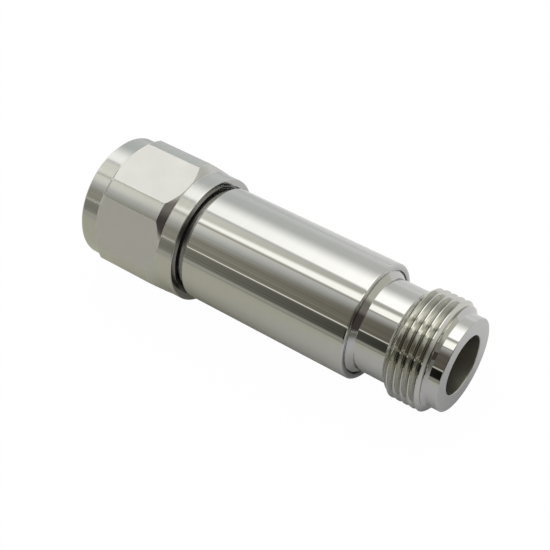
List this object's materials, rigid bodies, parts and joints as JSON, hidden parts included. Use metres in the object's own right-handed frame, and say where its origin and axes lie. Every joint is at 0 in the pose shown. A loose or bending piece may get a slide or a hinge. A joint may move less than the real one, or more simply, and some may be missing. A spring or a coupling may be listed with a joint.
{
  "type": "coaxial rf attenuator",
  "caption": "In-line coaxial attenuator: a threaded coupling nut and pin contact at one end, a plain round body, and a threaded socket connector at the other end.",
  "frame": {"origin": "on the axis, halfway between the nut's front face and the jack's front face", "axes": "+X along the axis towards the jack, +Z normal to a flat of the coupling nut"},
  "size_m": [0.0584, 0.0206, 0.019],
  "materials": {
    "polished_steel": "polished stainless steel with fine turning lines",
    "nut_steel": "stainless steel, polished cones and satin flats",
    "contact_bronze": "white bronze plated copper alloy",
    "gold": "gold plated beryllium copper",
    "spring_steel": "hardened spring steel",
    "insulator": "white fluoropolymer",
    "silicone": "red-brown silicone rubber",
    "alumina": "white ceramic plate with a dark resistive film",
    "carrier_metal": "machined aluminium"
  },
  "bodies": {
    "attenuator_body": {"mating_gasket": "silicone", "plug_body": "polished_steel", "plug_contact": "contact_bronze", "plug_pin": "gold", "plug_bead": "insulator", "plug_chip_clip": "gold", "barrel_sleeve": "polished_steel", "attenuator_chip": "alumina", "ground_spring_left": "gold", "ground_spring_right": "gold", "holder_upper": "carrier_metal", "holder_lower": "carrier_metal", "holder_screws": "spring_steel", "jack_chip_clip": "gold", "jack_bead": "insulator", "jack_bead_ring": "carrier_metal", "jack_socket": "gold", "jack_body": "polished_steel"},
    "coupling_nut": {"coupling_nut": "nut_steel", "nut_snap_ring": "spring_steel"}
  },
  "joints": [
    {"name": "nut_spin", "type": "hinge", "parent": "attenuator_body", "child": "coupling_nut", "pos_m": [-0.0204, 0, 0], "axis": [1, 0, 0], "continuous": true}
  ]
}
